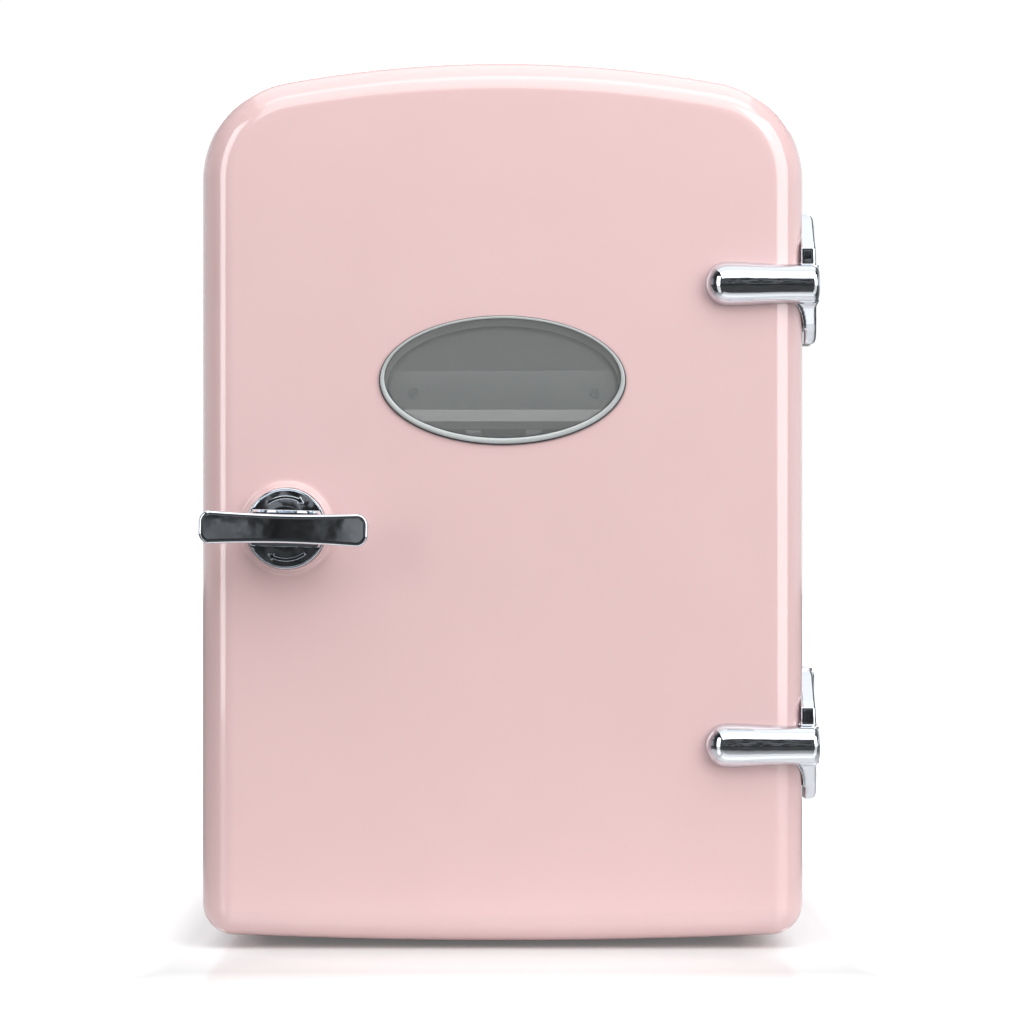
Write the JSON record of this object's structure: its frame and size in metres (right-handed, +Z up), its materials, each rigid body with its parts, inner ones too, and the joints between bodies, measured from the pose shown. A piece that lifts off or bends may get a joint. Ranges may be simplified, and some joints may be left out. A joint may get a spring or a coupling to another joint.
{
  "type": "mini fridge",
  "caption": "Countertop mini fridge in a retro arched shape: hung door with an oval window, turning latch, T hinges, shelf, carry handle, thermoelectric cooler and fan.",
  "frame": {"origin": "on the surface it stands on, under the middle of the overall box of body, latch bar and hinges", "axes": "+Z up; the door faces -Y; the hinges are on the +X side, so +X is to the right of someone who faces the door"},
  "size_m": [0.2848, 0.3463, 0.4075],
  "materials": {
    "pink_gloss": "gloss",
    "pink_satin": "satin",
    "white_plastic": "satin",
    "foam": "expanded foam, matte",
    "white_rubber": "matte",
    "black_rubber": "matte",
    "chrome": "polished",
    "steel": "satin",
    "aluminium": "satin",
    "silver_paint": "satin",
    "clear_pane": "gloss",
    "black_plastic": "satin",
    "grey_plastic": "satin",
    "ceramic_white": "matte",
    "board_green": "satin",
    "wire_jacket": "satin",
    "lens_blue": "gloss",
    "lens_red": "gloss"
  },
  "bodies": {
    "cabinet": {"hinge_leaf_lower": "chrome", "hinge_leaf_upper": "chrome", "hinge_leaf_screws": "steel", "hinge_pin_lower": "steel", "hinge_pin_upper": "steel", "cabinet_shell": "pink_gloss", "cabinet_liner": "white_plastic", "cabinet_foam": "foam", "latch_keeper": "steel", "shelf": "white_plastic", "foot_front_left": "black_rubber", "foot_front_right": "black_rubber", "foot_back_left": "black_rubber", "foot_back_right": "black_rubber", "handle_cup": "pink_satin", "handle_pivots": "steel", "cold_plate": "aluminium", "cold_plate_screws": "steel", "cold_block": "aluminium", "tec_module": "ceramic_white", "heatsink": "aluminium", "fan_frame": "black_plastic", "fan_screws": "steel", "rear_bulkhead": "white_plastic", "power_board": "board_green", "board_parts": "black_plastic", "board_screws": "steel", "wiring": "wire_jacket", "back_cover": "pink_satin", "cover_screws": "steel", "switch_bezel": "black_plastic", "ac_inlet": "black_plastic", "ac_pins": "aluminium", "dc_inlet": "black_plastic", "dc_pins": "aluminium", "led_cold": "lens_blue", "led_warm": "lens_red"},
    "door": {"door_shell": "pink_gloss", "door_liner": "white_plastic", "door_foam": "foam", "door_gasket": "white_rubber", "door_screws": "steel", "window_frame": "silver_paint", "window_pane_outer": "clear_pane", "window_tunnel": "white_plastic", "window_pane_inner": "clear_pane", "latch_escutcheon": "chrome", "latch_bushing": "white_plastic", "hinge_strap_lower": "chrome", "hinge_strap_upper": "chrome", "hinge_strap_screws": "steel"},
    "latch": {"latch_handle": "chrome", "latch_shaft": "steel", "latch_cam": "steel", "latch_cam_screw": "steel"},
    "bail": {"carry_handle": "pink_satin"},
    "rocker": {"switch_rocker": "black_plastic"},
    "rotor": {"fan_rotor": "grey_plastic"}
  },
  "joints": [
    {"name": "door_hinge", "type": "hinge", "parent": "cabinet", "child": "door", "pos_m": [0.13822, -0.097, 0.203], "axis": [0, 0, 1], "range_deg": [0, 120]},
    {"name": "latch_turn", "type": "hinge", "parent": "door", "child": "latch", "pos_m": [-0.10268, -0.157, 0.1928], "axis": [0, 1, 0], "range_deg": [0, 90]},
    {"name": "handle_fold", "type": "hinge", "parent": "cabinet", "child": "bail", "pos_m": [-0.00438, 0.053, 0.394], "axis": [-1, 0, 0], "range_deg": [0, 90]},
    {"name": "switch_rock", "type": "hinge", "parent": "cabinet", "child": "rocker", "pos_m": [0.06763, 0.169, 0.07], "axis": [1, 0, 0], "range_deg": [-12, 12]},
    {"name": "fan_spin", "type": "hinge", "parent": "cabinet", "child": "rotor", "pos_m": [-0.00438, 0.155, 0.215], "axis": [0, 1, 0], "continuous": true}
  ]
}
